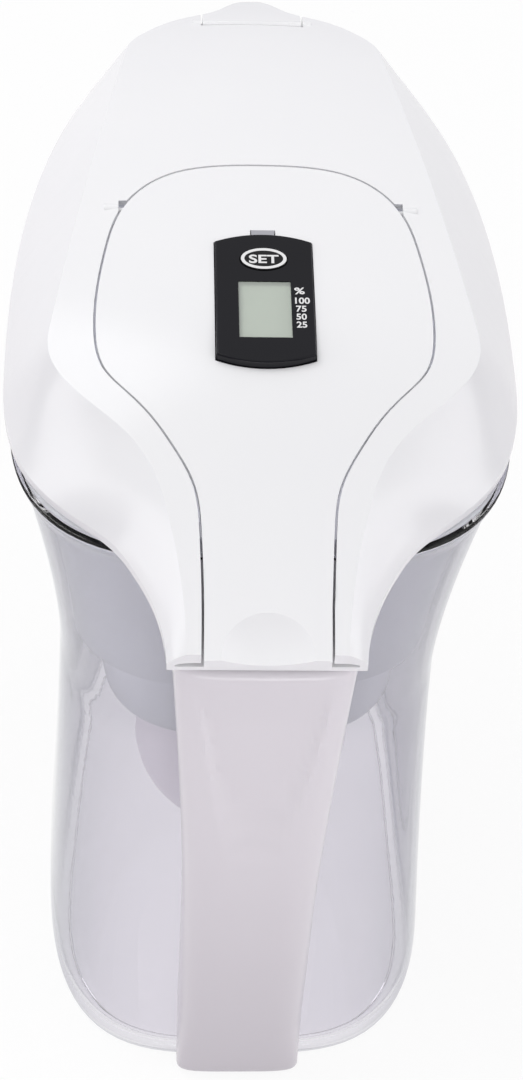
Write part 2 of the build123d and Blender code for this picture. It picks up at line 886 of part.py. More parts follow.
def make_fill_flap():
    skin = dome_shell & seam_prism(0, seam_low_z)
    barrel_start = flap_half_span - flap_barrel_length
    barrel = both_sides(cross_rod(flap_axis_y, flap_axis_z, flap_barrel_radius, barrel_start, flap_half_span))
    tray_low = module_low_z - seat_gap - case_wall
    tray = module_block(slip_gap / 2 + 1.6, tray_low, lid_top_z) & full_dome
    pocket = module_block(slip_gap / 2, module_low_z - seat_gap, lid_top_z + 5)
    release = slab(
        -release_half_width - 0.3, release_half_width + 0.3,
        module_front, module_front + module_bow + release_length + 0.3,
        module_top_z - bezel_wall - release_wall - 1.0, lid_top_z + 5,
    )
    ball = (thumb_radius**2 + thumb_depth**2) / (2 * thumb_depth)
    end_z = crown_z(-flap_tab_end)
    slope = atan((crown_z(thumb_radius / 2 - flap_tab_end) - end_z) * 2 / thumb_radius)
    lift = ball - thumb_depth
    scoop = Pos(0, -flap_tab_end - lift * sin(slope), end_z + lift * cos(slope)) * Sphere(ball)
    axle = hinge_rod_radius + 0.01
    bore = cross_rod(flap_axis_y, flap_axis_z, axle, -lug_low, lug_low)
    return skin + barrel + tray - pocket - release - scoop - bore


def make_flap_rod():
    half = lug_low + lug_width - lug_end_wall - seat_gap
    return cross_rod(flap_axis_y, flap_axis_z, hinge_rod_radius, -half, half)


def make_spout_flap():
    skin = dome_shell & spout_region(0)
    barrel = cross_rod(spout_axis_y, spout_axis_z, spout_barrel_radius, -spout_half_width, spout_half_width)
    axle = hinge_rod_radius + 0.01
    bore = cross_rod(spout_axis_y, spout_axis_z, axle, -spout_half_width - 1, spout_half_width + 1)
    return skin + barrel - bore


def make_spout_rod():
    half = spout_half_width + spout_gap + spout_lug_width - lug_end_wall - seat_gap
    return cross_rod(spout_axis_y, spout_axis_z, hinge_rod_radius, -half, half)


# Change indicator
plate_low = module_top_z - bezel_wall
skirt_low = module_top_z - bezel_height


def make_indicator_case():
    outer = module_block(0, module_low_z, skirt_low)
    return outer - module_block(-case_wall, module_low_z + case_wall, skirt_low + 1)


def window_block(grow, low_z, high_z):
    half, length = window_half_width + grow, window_half_length + grow
    return slab(-half, half, window_y - length, window_y + length, low_z, high_z)


def button_block(grow, low_z, high_z):
    face = Pos(0, button_y, low_z) * Ellipse(button_half_width + grow, button_half_length + grow)
    return extrude(face, amount=high_z - low_z)


def make_indicator_bezel():
    frame = module_block(0, skirt_low, module_top_z)
    frame = fillet(frame.edges().group_by(Axis.Z)[-1], 0.6)
    frame = frame - module_block(-case_wall, skirt_low - 1, plate_low)
    frame = frame - window_block(0, plate_low - 1, module_top_z + 1)
    frame = frame - window_block(window_lip, plate_low - 1, module_top_z - bezel_wall + 0.4)
    return frame - button_block(button_gap, plate_low - 1, module_top_z + 1)


def make_indicator_window():
    low = plate_low - window_wall + 0.4
    lens = window_block(-0.05, low, module_top_z - 0.3)
    return lens + window_block(window_lip - 0.05, low, plate_low + 0.4)


def make_display_panel():
    high = plate_low - window_wall + 0.4
    return window_block(0.8, high - panel_wall, high)


def make_circuit_board():
    return module_block(-case_wall - 0.3, board_z, board_z + board_wall)


def make_display_connector():
    low = board_z + board_wall
    high = plate_low - window_wall + 0.4 - panel_wall
    half = window_half_width - 0.5
    strip = slab(-half, half, window_y - window_half_length, window_y - window_half_length + 2.0, low, high)
    return strip + mirror(strip, about=Plane.XZ.offset(-window_y))


def make_coin_cell():
    low = module_low_z + case_wall
    return disc(cell_y, low, low + cell_height - clip_wall, cell_radius)


def make_cell_clip():
    low = module_low_z + case_wall + cell_height - clip_wall
    near, far = cell_y - cell_radius, cell_y + cell_radius + 2
    return slab(-clip_half_width, clip_half_width, near, far, low, low + clip_wall)


def make_button_pad():
    low = board_z + board_wall
    high = plate_low - button_flange_wall - 0.6 - 0.2
    pad = disc(button_y, low, high, pad_radius)
    return chamfer(pad.edges().group_by(Axis.Z)[-1], 0.6)


def make_set_button():
    flange_high = plate_low - 0.05
    flange = button_block(button_flange, flange_high - button_flange_wall, flange_high)
    cap = button_block(0, flange_high - 0.1, module_top_z + button_proud)
    cap = fillet(cap.edges().group_by(Axis.Z)[-1], 0.3)
    return cap + flange


def make_release_tab():
    top = module_top_z - 0.7
    front = module_front + module_bow + release_length
    tab = slab(-release_half_width, release_half_width, module_front, front, top - release_wall, top)
    return tab - module_block(0, top - release_wall - 1, top + 1)


pieces = {
    "jug_body": make_jug_body,
    "handle_spine": make_handle_spine,
    "handle_cover": make_handle_cover,
    "handle_liner": make_handle_liner,
    "hopper": make_hopper,
    "hopper_socket": make_hopper_socket,
    "cartridge_body": make_cartridge_body,
    "cartridge_seal": make_cartridge_seal,
    "cartridge_cap": make_cartridge_cap,
    "outlet_screen": make_outlet_screen,
    "inlet_screen": make_inlet_screen,
    "filter_media": make_filter_media,
    "lid_shell": make_lid_shell,
    "fill_flap": make_fill_flap,
    "flap_rod": make_flap_rod,
    "spout_flap": make_spout_flap,
    "spout_rod": make_spout_rod,
    "indicator_case": make_indicator_case,
    "indicator_bezel": make_indicator_bezel,
    "indicator_window": make_indicator_window,
    "display_panel": make_display_panel,
    "display_connector": make_display_connector,
    "circuit_board": make_circuit_board,
    "coin_cell": make_coin_cell,
    "cell_clip": make_cell_clip,
    "button_pad": make_button_pad,
    "set_button": make_set_button,
    "release_tab": make_release_tab,
}

for name, make in pieces.items():
    write(make(), name)
    print(name)
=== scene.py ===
import math
import bmesh
import bpy
from mathutils import Matrix, Vector


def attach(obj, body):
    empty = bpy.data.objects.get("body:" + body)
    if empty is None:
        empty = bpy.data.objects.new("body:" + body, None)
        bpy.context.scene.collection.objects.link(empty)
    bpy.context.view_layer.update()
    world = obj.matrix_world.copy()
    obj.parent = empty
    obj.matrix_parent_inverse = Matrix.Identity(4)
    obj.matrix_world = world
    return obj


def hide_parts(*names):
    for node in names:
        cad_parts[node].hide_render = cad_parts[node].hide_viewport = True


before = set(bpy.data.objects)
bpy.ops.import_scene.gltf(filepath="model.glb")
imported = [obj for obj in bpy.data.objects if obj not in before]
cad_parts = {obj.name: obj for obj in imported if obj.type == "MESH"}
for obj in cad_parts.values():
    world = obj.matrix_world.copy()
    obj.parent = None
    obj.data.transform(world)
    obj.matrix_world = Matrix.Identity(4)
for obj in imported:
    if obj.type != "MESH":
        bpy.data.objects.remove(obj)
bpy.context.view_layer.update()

mm = 0.001
print("frame loaded")


# Shader group shared by the finishes
def newGroup(name, inputs, outputs):
    group = bpy.data.node_groups.new(name, "ShaderNodeTree")
    for label, kind, value in inputs:
        socket = group.interface.new_socket(name=label, in_out="INPUT", socket_type=kind)
        socket.default_value = value
    for label, kind in outputs:
        group.interface.new_socket(name=label, in_out="OUTPUT", socket_type=kind)
    start = group.nodes.new("NodeGroupInput")
    end = group.nodes.new("NodeGroupOutput")
    return group, start, end


moulding = {
    "driftDetail": 3.0, "peelDetail": 1.5, "peelDistance": 0.0002, "glossFrom": 0.2, "glossTo": 0.8,
    "clearPeelSize": 260.0, "clearPeelHeight": 0.02, "edgeBlend": 0.5, "edgeSteepness": 1.5,
}


def buildMouldedSurface():
    # fine orange peel, slow colour drift and patchy gloss of an injection moulding
    group, start, end = newGroup(
        "mouldedSurface",
        [
            ("Base Color", "NodeSocketColor", (0.9, 0.9, 0.9, 1)),
            ("Drift Color", "NodeSocketColor", (0.85, 0.85, 0.86, 1)),
            ("Drift Size", "NodeSocketFloat", 25.0),
            ("Peel Size", "NodeSocketFloat", 900.0),
            ("Peel Height", "NodeSocketFloat", 0.04),
            ("Smoothest", "NodeSocketFloat", 0.18),
            ("Roughest", "NodeSocketFloat", 0.26),
        ],
        [("Color", "NodeSocketColor"), ("Roughness", "NodeSocketFloat"), ("Normal", "NodeSocketVector")],
    )
    nodes, links = group.nodes, group.links
    place = nodes.new("ShaderNodeTexCoord")
    drift = nodes.new("ShaderNodeTexNoise")
    drift.inputs["Detail"].default_value = moulding["driftDetail"]
    peel = nodes.new("ShaderNodeTexNoise")
    peel.inputs["Detail"].default_value = moulding["peelDetail"]
    mixColor = nodes.new("ShaderNodeMix")
    mixColor.data_type = "RGBA"
    gloss = nodes.new("ShaderNodeMapRange")
    bump = nodes.new("ShaderNodeBump")
    bump.inputs["Distance"].default_value = moulding["peelDistance"]
    links.new(place.outputs["Object"], drift.inputs["Vector"])
    links.new(place.outputs["Object"], peel.inputs["Vector"])
    links.new(start.outputs["Drift Size"], drift.inputs["Scale"])
    links.new(start.outputs["Peel Size"], peel.inputs["Scale"])
    links.new(drift.outputs["Fac"], mixColor.inputs[0])
    links.new(start.outputs["Base Color"], mixColor.inputs[6])
    links.new(start.outputs["Drift Color"], mixColor.inputs[7])
    links.new(drift.outputs["Fac"], gloss.inputs["Value"])
    gloss.interpolation_type = "SMOOTHSTEP"
    gloss.inputs["From Min"].default_value = moulding["glossFrom"]
    gloss.inputs["From Max"].default_value = moulding["glossTo"]
    links.new(start.outputs["Smoothest"], gloss.inputs["To Min"])
    links.new(start.outputs["Roughest"], gloss.inputs["To Max"])
    links.new(peel.outputs["Fac"], bump.inputs["Height"])
    links.new(start.outputs["Peel Height"], bump.inputs["Strength"])
    links.new(mixColor.outputs[2], end.inputs["Color"])
    links.new(gloss.outputs["Result"], end.inputs["Roughness"])
    links.new(bump.outputs["Normal"], end.inputs["Normal"])
    return group


mouldedSurface = buildMouldedSurface()


def newMaterial(name):
    material = bpy.data.materials.new(name)
    material.use_nodes = True
    return material, material.node_tree.nodes, material.node_tree.links


def linear(value):
    # a brightness as it reads on screen, 0 to 255, turned into a linear shader value
    share = value / 255
    return share / 12.92 if share < 0.0404 else ((share + 0.055) / 1.055) ** 2.4


def rgb(red, green, blue):
    return linear(red), linear(green), linear(blue), 1.0


def plastic(name, colour, drift, smooth=0.2, rough=0.28, peel=0.04, ior=1.5):
    # without a drift colour the colour is the same all over, and without peel the surface is smooth
    material, nodes, links = newMaterial(name)
    shader = nodes["Principled BSDF"]
    surface = nodes.new("ShaderNodeGroup")
    surface.node_tree = mouldedSurface
    surface.inputs["Smoothest"].default_value = smooth
    surface.inputs["Roughest"].default_value = rough
    shader.inputs["IOR"].default_value = ior
    shader.inputs["Base Color"].default_value = colour
    if drift:
        surface.inputs["Base Color"].default_value = colour
        surface.inputs["Drift Color"].default_value = drift
        links.new(surface.outputs["Color"], shader.inputs["Base Color"])
    links.new(surface.outputs["Roughness"], shader.inputs["Roughness"])
    if peel:
        surface.inputs["Peel Height"].default_value = peel
        links.new(surface.outputs["Normal"], shader.inputs["Normal"])
    return material


def clearPlastic(name, tint, driftTint, smooth, rough, ior, transmission, shadowPass, edgeTint=None):
    material, nodes, links = newMaterial(name)
    shader = nodes["Principled BSDF"]
    surface = nodes.new("ShaderNodeGroup")
    surface.node_tree = mouldedSurface
    surface.inputs["Base Color"].default_value = tint
    surface.inputs["Drift Color"].default_value = driftTint
    surface.inputs["Smoothest"].default_value = smooth
    surface.inputs["Roughest"].default_value = rough
    surface.inputs["Peel Size"].default_value = moulding["clearPeelSize"]
    surface.inputs["Peel Height"].default_value = moulding["clearPeelHeight"]
    shader.inputs["IOR"].default_value = ior
    shader.inputs["Transmission Weight"].default_value = transmission
    colour = surface.outputs["Color"]
    if edgeTint:  # a wall seen edge on is a longer way through the plastic
        facing = nodes.new("ShaderNodeLayerWeight")
        facing.inputs["Blend"].default_value = moulding["edgeBlend"]
        steep = nodes.new("ShaderNodeMath")
        steep.operation = "POWER"
        steep.inputs[1].default_value = moulding["edgeSteepness"]
        darker = nodes.new("ShaderNodeMix")
        darker.data_type = "RGBA"
        darker.inputs[7].default_value = edgeTint
        links.new(facing.outputs["Facing"], steep.inputs[0])
        links.new(steep.outputs["Value"], darker.inputs[0])
        links.new(colour, darker.inputs[6])
        colour = darker.outputs[2]
    links.new(colour, shader.inputs["Base Color"])
    links.new(surface.outputs["Roughness"], shader.inputs["Roughness"])
    links.new(surface.outputs["Normal"], shader.inputs["Normal"])
    # light passes through the clear wall to what stands behind it
    path = nodes.new("ShaderNodeLightPath")
    share = nodes.new("ShaderNodeMath")
    share.operation = "MULTIPLY"
    share.inputs[1].default_value = shadowPass
    clear = nodes.new("ShaderNodeBsdfTransparent")
    both = nodes.new("ShaderNodeMixShader")
    links.new(path.outputs["Is Shadow Ray"], share.inputs[0])
    links.new(share.outputs["Value"], both.inputs["Fac"])
    links.new(shader.outputs["BSDF"], both.inputs[1])
    links.new(clear.outputs["BSDF"], both.inputs[2])
    links.new(both.outputs["Shader"], nodes["Material Output"].inputs["Surface"])
    return material


finish = {
    "lid_white": plastic("lidWhite", rgb(247, 247, 248), rgb(244, 244, 246), 0.16, 0.22),
    "handle_white": plastic("handleWhite", rgb(229, 225, 230), None, 0.2, 0.26, peel=0.0),
    "clear_plastic": clearPlastic(
        "clearJug", rgb(246, 244, 248), rgb(243, 241, 246), smooth=0.0, rough=0.02, ior=1.46,
        transmission=1.0, shadowPass=1.0, edgeTint=rgb(58, 62, 90)),
    "smoky_plastic": clearPlastic(
        "smokyHopper", rgb(248, 249, 253), rgb(245, 246, 251), smooth=0.3, rough=0.38, ior=1.46,
        transmission=0.4, shadowPass=0.95),
    "cartridge_grey": plastic("cartridgeGrey", rgb(240, 235, 241), rgb(232, 227, 234), 0.35, 0.45),
    "cap_white": plastic("capWhite", rgb(238, 238, 240), rgb(232, 232, 236), 0.3, 0.4),
    "seal_rubber": plastic("sealRubber", rgb(200, 202, 208), rgb(190, 192, 200), 0.6, 0.75, 0.1),
    "screen_mesh": plastic("screenMesh", rgb(225, 225, 228), rgb(205, 205, 210), 0.6, 0.8, 0.3),
    "filter_granules": plastic("filterGranules", rgb(40, 40, 42), rgb(190, 170, 120), 0.7, 0.9, 0.6),
    "pin_white": plastic("pinWhite", rgb(235, 235, 236), rgb(228, 228, 230), 0.3, 0.4),
    "indicator_black": plastic("indicatorBlack", rgb(15, 15, 20), rgb(20, 20, 27), 0.14, 0.2, 0.02, ior=1.33),
    "window_clear": clearPlastic(
        "windowClear", rgb(238, 244, 237), rgb(233, 240, 232), smooth=0.06, rough=0.1, ior=1.45,
        transmission=0.65, shadowPass=1.0),
    "display_grey": plastic("displayGrey", rgb(238, 243, 235), rgb(232, 237, 229), 0.4, 0.5),
    "connector_rubber": plastic("connectorRubber", rgb(120, 122, 128), rgb(90, 92, 98), 0.6, 0.7, 0.1),
    "board_green": plastic("boardGreen", rgb(28, 84, 56), rgb(34, 98, 64), 0.35, 0.5),
    "cell_steel": plastic("cellSteel", rgb(190, 190, 192), rgb(175, 175, 178), 0.25, 0.35),
    "button_black": plastic("buttonBlack", rgb(20, 20, 22), rgb(26, 26, 28), 0.2, 0.28, 0.02, ior=1.33),
    "print_white": plastic("printWhite", rgb(240, 240, 240), rgb(232, 232, 232), 0.4, 0.5),
    # painted shade: the release tab is coloured grey for the shade that falls in the recess it sits in
    "tab_grey": plastic("tabPaintedShade", rgb(176, 176, 182), rgb(168, 168, 175), 0.35, 0.45),
}

nodeFinish = {
    "jug_body": "clear_plastic", "handle_spine": "clear_plastic", "handle_cover": "handle_white",
    "handle_liner": "handle_white", "hopper": "smoky_plastic", "hopper_socket": "smoky_plastic",
    "cartridge_body": "cartridge_grey", "cartridge_seal": "seal_rubber",
    "cartridge_cap": "cap_white", "outlet_screen": "screen_mesh", "inlet_screen": "screen_mesh",
    "filter_media": "filter_granules", "lid_shell": "lid_white", "fill_flap": "lid_white",
    "flap_rod": "pin_white", "spout_flap": "lid_white", "spout_rod": "pin_white",
    "indicator_case": "indicator_black", "indicator_bezel": "indicator_black",
    "indicator_window": "window_clear", "display_panel": "display_grey",
    "display_connector": "connector_rubber", "circuit_board": "board_green", "coin_cell": "cell_steel",
    "cell_clip": "cell_steel", "button_pad": "connector_rubber", "set_button": "button_black",
    # the release tab takes the grey of painted shade
    "release_tab": "tab_grey",
}
for nodeName, finishName in nodeFinish.items():
    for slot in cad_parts[nodeName].material_slots:
        slot.material = finish[finishName]
print("finishes placed")


# Mesh helpers, all in millimetres until the mesh is written
def mix(low, high, share):
    return low + (high - low) * share


def smoothStep(low, high, value):
    share = min(1.0, max(0.0, (value - low) / (high - low)))
    return share * share * (3 - 2 * share)


def writeMesh(name, mesh, finishName, body, stands=(), sharpAngle=35.0):
    # turns a bmesh in millimetres into a piece that rides on a body
    bmesh.ops.recalc_face_normals(mesh, faces=mesh.faces)
    bmesh.ops.scale(mesh, vec=(mm, mm, mm), verts=mesh.verts)
    data = bpy.data.meshes.new(name)
    mesh.to_mesh(data)
    mesh.free()
    data.polygons.foreach_set("use_smooth", [True] * len(data.polygons))
    data.set_sharp_from_angle(angle=math.radians(sharpAngle))
    data.materials.append(finish[finishName])
    piece = bpy.data.objects.new(name, data)
    bpy.context.collection.objects.link(piece)
    if stands:
        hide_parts(*stands)
    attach(piece, body)


def stackRows(mesh, rows, joined=False):
    # quads between closed rows of points; open ends get a flat face
    rings = [[mesh.verts.new(point) for point in row] for row in rows]
    pairs = list(zip(rings, rings[1:]))
    if joined:
        pairs.append((rings[-1], rings[0]))
    for low, high in pairs:
        for index in range(len(low)):
            after = (index + 1) % len(low)
            mesh.faces.new((low[index], low[after], high[after], high[index]))
    if not joined:
        mesh.faces.new(list(reversed(rings[0])))
        mesh.faces.new(rings[-1])


def quarter(count):
    # even steps round a quarter circle, as (sine, cosine)
    angles = [math.pi / 2 * step / count for step in range(count + 1)]
    return [(math.sin(angle), math.cos(angle)) for angle in angles]


# Jug, a thick clear moulding drawn as one closed skin
jug = {
    "columns": 144, "rows": 46, "widestY": -28.0,
    "rimZ": 238.2, "waistZ": 142.0, "heel": 5.0, "wall": 2.4, "floor": 5.0,
    "footRise": 1.5, "footInset": 6.0, "footFlat": 3.0, "footBreak": 0.5, "footRound": 0.8,
    "footEdge": ((0.9, 0.0), (0.3, 0.2), (0.0, 0.8)), "heelShare": 0.36,
    "halfWidth": (64.5, 58.8, 70.3), "front": (88.0, 92.0, 118.4), "rear": (120.0, 83.0, 86.9),
    "rearPower": (3.5, 3.1, 3.0), "frontPower": 2.3, "lowerCurve": 1.35, "upperCurve": 1.7,
    "lipReach": 7.0, "lipHalfWidth": 12.0, "lipStart": 190.0,
    "beadHeight": 4.0, "bead": 1.0, "rimRound": 0.8,
    "beadProfile": ((0.3, 0.25), (0.6, 0.7), (0.9, 0.95), (1.4, 1.0), (2.6, 1.0)),
    "heelSteps": 8, "rimSteps": 5,
}


def jugSize(z, sizes):
    foot, waist, rim = sizes
    if z >= jug["waistZ"]:
        return mix(waist, rim, ((z - jug["waistZ"]) / (jug["rimZ"] - jug["waistZ"])) ** jug["upperCurve"])
    return mix(waist, foot, ((jug["waistZ"] - z) / (jug["waistZ"] - jug["heel"])) ** jug["lowerCurve"])


def planPoint(turn, halfWidth, front, rear, frontPower, rearPower, lip=0.0):
    # two half superellipses that meet at the widest line, with the lip at the front
    across, along = math.cos(turn), math.sin(turn)
    reach = front - jug["widestY"] if along >= 0 else rear + jug["widestY"]
    power = frontPower if along >= 0 else rearPower
    radius = (abs(across / halfWidth) ** power + abs(along / reach) ** power) ** (-1 / power)
    x, y = radius * across, jug["widestY"] + radius * along
    if along > 0:
        y += lip * math.exp(-((x / jug["lipHalfWidth"]) ** 4))
    return x, y


turns = [2 * math.pi * step / jug["columns"] for step in range(jug["columns"])]


def jugRow(z, inset, sizeZ=None):
    sizeZ = max(z if sizeZ is None else sizeZ, jug["heel"])
    lipShare = max(0.0, (sizeZ - jug["lipStart"]) / (jug["rimZ"] - jug["lipStart"]))
    row = []
    for turn in turns:
        x, y = planPoint(
            turn, jugSize(sizeZ, jug["halfWidth"]) - inset, jugSize(sizeZ, jug["front"]) - inset,
            jugSize(sizeZ, jug["rear"]) - inset, jug["frontPower"], jugSize(sizeZ, jug["rearPower"]),
            jug["lipReach"] * lipShare ** 2)
        row.append((x, y, z))
    return row


def buildJug():
    heel, rim = jug["heel"], jug["rimZ"]
    deepest = heel * jug["heelShare"]
    rows = [jugRow(jug["footRise"], jug["footInset"] + jug["footFlat"])]
    rows.append(jugRow(jug["footRise"], jug["footInset"] + jug["footBreak"]))
    for height, widening in jug["footEdge"]:
        rows.append(jugRow(height, jug["footInset"] - widening))
    rows.append(jugRow(0, deepest + jug["footRound"]))
    for sine, cosine in quarter(jug["heelSteps"]):  # the heel, from the table up
        rows.append(jugRow(heel * (1 - cosine), deepest * (1 - sine)))
    beadLow = rim - jug["beadHeight"]
    for step in range(1, jug["rows"] + 1):
        rows.append(jugRow(mix(heel, beadLow, step / jug["rows"]), 0))
    for rise, proud in jug["beadProfile"]:
        rows.append(jugRow(beadLow + rise, -jug["bead"] * proud))
    lip = jug["rimRound"]
    for sine, cosine in quarter(jug["rimSteps"]):
        rows.append(jugRow(rim - lip + lip * sine, lip * (1 - cosine) - jug["bead"], rim))
    for sine, cosine in quarter(jug["rimSteps"]):
        rows.append(jugRow(rim - lip + lip * cosine, jug["wall"] - lip * (1 - sine), rim))
    floorTop = jug["floor"] + heel
    for step in range(1, jug["rows"] + 1):
        rows.append(jugRow(mix(rim - lip, floorTop, step / jug["rows"]), jug["wall"]))
    for sine, cosine in quarter(jug["heelSteps"])[1:]:
        rows.append(jugRow(floorTop - heel * sine, jug["wall"] + deepest * (1 - cosine)))
    rows.append(jugRow(jug["floor"], jug["wall"] + deepest + jug["footFlat"]))
    mesh = bmesh.new()
    stackRows(mesh, rows)
    writeMesh("jugSkin", mesh, "clear_plastic", "jug", ("jug_body",), 60)


buildJug()
print("jug built")


# Hopper, two tiers and a flange that lies on the jug's rim
hopper = {
    "wall": 2.0, "gap": 4.0, "stepZ": 165.0, "floorZ": 135.0, "flangeLow": 238.5, "flangeHigh": 240.0,
    "frontTop": 88.0, "frontStep": 64.0, "frontPower": 2.6,
    "tierHalfWidth": 48.0, "tierFront": 50.0, "tierRear": 78.0, "tierDraft": 1.2, "tierRearPower": 3.1,
    "flangeInset": 0.4, "flangeEnd": 72.0, "flangeFade": 8.0,
    "edge": 0.3, "underBreak": 0.25, "rimBreak": 0.4, "boreLedge": 1.0,
    "boreY": -37.0, "boreRadius": 35.6, "corner": 1.6, "shoulder": 0.8, "rows": 14,
    "cornerSteps": 4, "shoulderSteps": 3, "tierShares": (0.25, 0.5, 0.75),
}


def hopperRow(z, inset, sizeZ=None):
    sizeZ = z if sizeZ is None else sizeZ
    drawn = hopper["gap"] + inset
    share = (sizeZ - hopper["stepZ"]) / (jug["rimZ"] - hopper["stepZ"])
    front = mix(hopper["frontStep"], hopper["frontTop"], share) - inset
    return [
        planPoint(turn, jugSize(sizeZ, jug["halfWidth"]) - drawn, front, jugSize(sizeZ, jug["rear"]) - drawn,
                  hopper["frontPower"], jugSize(sizeZ, jug["rearPower"])) + (z,)
        for turn in turns
    ]


def tierRow(z, inset):
    share = min(1.0, max(0.0, (hopper["stepZ"] - z) / (hopper["stepZ"] - hopper["floorZ"])))
    drawn = hopper["tierDraft"] * share + inset
    halfWidth, front, rear = (hopper[key] - drawn for key in ("tierHalfWidth", "tierFront", "tierRear"))
    return [
        planPoint(turn, halfWidth, front, rear, hopper["frontPower"], hopper["tierRearPower"]) + (z,)
        for turn in turns
    ]


def boreRow(z):
    return [
        (hopper["boreRadius"] * math.cos(turn), hopper["boreY"] + hopper["boreRadius"] * math.sin(turn), z)
        for turn in turns
    ]


def flangeRow(z, inset):
    # the flange ends before the pouring channel at the front
    edge = jugRow(z, hopper["flangeInset"] + inset, jug["rimZ"])
    body = hopperRow(z, 0, jug["rimZ"])
    row = []
    for (outX, outY, _), (inX, inY, _) in zip(edge, body):
        share = 1 - smoothStep(hopper["flangeEnd"] - hopper["flangeFade"], hopper["flangeEnd"], outY)
        row.append((mix(inX, outX, share), mix(inY, outY, share), z))
    return row


def buildHopper():
    low, step, corner, wall = hopper["floorZ"], hopper["stepZ"], hopper["corner"], hopper["wall"]
    shoulder, edge, rim = hopper["shoulder"], hopper["edge"], jug["rimZ"]
    flangeLow, flangeHigh = hopper["flangeLow"], hopper["flangeHigh"]
    corners, shoulders = quarter(hopper["cornerSteps"]), quarter(hopper["shoulderSteps"])
    # outside, from the bore in the floor up to the flange
    rows = [boreRow(low), tierRow(low, corner + hopper["boreLedge"])]
    for sine, cosine in corners:
        rows.append(tierRow(low + corner * (1 - cosine), corner * (1 - sine)))
    for share in hopper["tierShares"]:
        rows.append(tierRow(mix(low + corner, step - shoulder, share), 0))
    for sine, cosine in shoulders:
        rows.append(tierRow(step - shoulder * (1 - sine), -shoulder * (1 - cosine)))
    for sine, cosine in corners:
        rows.append(hopperRow(step + corner * (1 - cosine), corner * (1 - sine)))
    for index in range(1, hopper["rows"] + 1):
        z = mix(step + corner, flangeLow, index / hopper["rows"])
        rows.append(hopperRow(z, 0, min(z, rim)))
    rows.append(flangeRow(flangeLow, hopper["underBreak"]))
    rows.append(flangeRow(flangeLow + edge, 0))
    rows.append(flangeRow(flangeHigh - edge, 0))
    rows.append(flangeRow(flangeHigh, edge))
    # inside, from the flange back down to the bore
    rows.append(hopperRow(flangeHigh, wall - hopper["rimBreak"], rim))
    rows.append(hopperRow(flangeHigh - hopper["rimBreak"], wall, rim))
    for index in range(1, hopper["rows"] + 1):
        z = mix(flangeHigh - hopper["rimBreak"], step + wall + corner, index / hopper["rows"])
        rows.append(hopperRow(z, wall, min(z, rim)))
    for sine, cosine in corners[1:]:
        rows.append(hopperRow(step + wall + corner * (1 - sine), wall + corner * (1 - cosine)))
    for sine, cosine in shoulders:
        rows.append(tierRow(step + wall - shoulder * (1 - cosine), wall - shoulder * (1 - sine)))
    for share in reversed(hopper["tierShares"]):
        rows.append(tierRow(mix(low + wall + corner, step + wall - shoulder, share), wall))
    for sine, cosine in corners:
        rows.append(tierRow(low + wall + corner * (1 - sine), wall + corner * (1 - cosine)))
    rows.append(boreRow(low + wall))
    mesh = bmesh.new()
    stackRows(mesh, rows, joined=True)
    writeMesh("hopperSkin", mesh, "smoky_plastic", "hopper", ("hopper",), 60)


buildHopper()
print("hopper built")


# Handle cover, a channel with a nearly flat back and a shallow dish for the palm
handle = {
    "reach": 128.0, "bow": 7.0, "bowZ": 70.0, "depth": 16.0, "lowZ": 0.4, "topZ": 233.1, "wall": 2.2,
    "halfWidth": 20.4, "topHalfWidth": 25.8, "wideningZ": 100.0, "wideningPower": 1.6,
    "squareness": 4.6, "levels": 72, "points": 40, "endRound": 3.0, "endSteps": 6, "jugGap": 0.6,
    "dishLow": 141.0, "dishLength": 58.0, "dishHalf": 15.5, "dishDepth": 1.7, "dishTop": (208.0, 231.0),
    "dishFrom": 0.5, "dishEdge": 0.17,
}


def handleBack(z):
    return -handle["reach"] + handle["bow"] * ((z - handle["bowZ"]) / (handle["topZ"] - handle["bowZ"])) ** 2


def handleHalf(z):
    share = max(0.0, (z - handle["wideningZ"]) / (handle["topZ"] - handle["wideningZ"]))
    return mix(handle["halfWidth"], handle["topHalfWidth"], share ** handle["wideningPower"])


def dishDepth(x, z):
    # a shallow tongue-shaped hollow with its soft edge at the lower end
    inside = (z - handle["dishLow"]) / handle["dishLength"] - (x / handle["dishHalf"]) ** 2
    top = 1 - smoothStep(handle["dishTop"][0], handle["dishTop"][1], z)
    return handle["dishDepth"] * smoothStep(0.0, handle["dishEdge"], inside) * top


def handleRow(z, inset, dished):
    jugBack = -jugSize(max(z, jug["heel"]), jug["rear"])
    front = min(handleBack(z) + handle["depth"], jugBack - handle["jugGap"])
    half, deep = handleHalf(z) - inset, front - handleBack(z) - inset
    power = 2 / handle["squareness"]
    row = []
    for step in range(handle["points"] + 1):
        turn = math.pi * step / handle["points"]
        x = half * math.copysign(abs(math.cos(turn)) ** power, math.cos(turn))
        y = front - deep * math.sin(turn) ** power
        if dished:
            y += dishDepth(x, z) * smoothStep(handle["dishFrom"], 1.0, math.sin(turn))
        row.append((x, y, z))
    return row


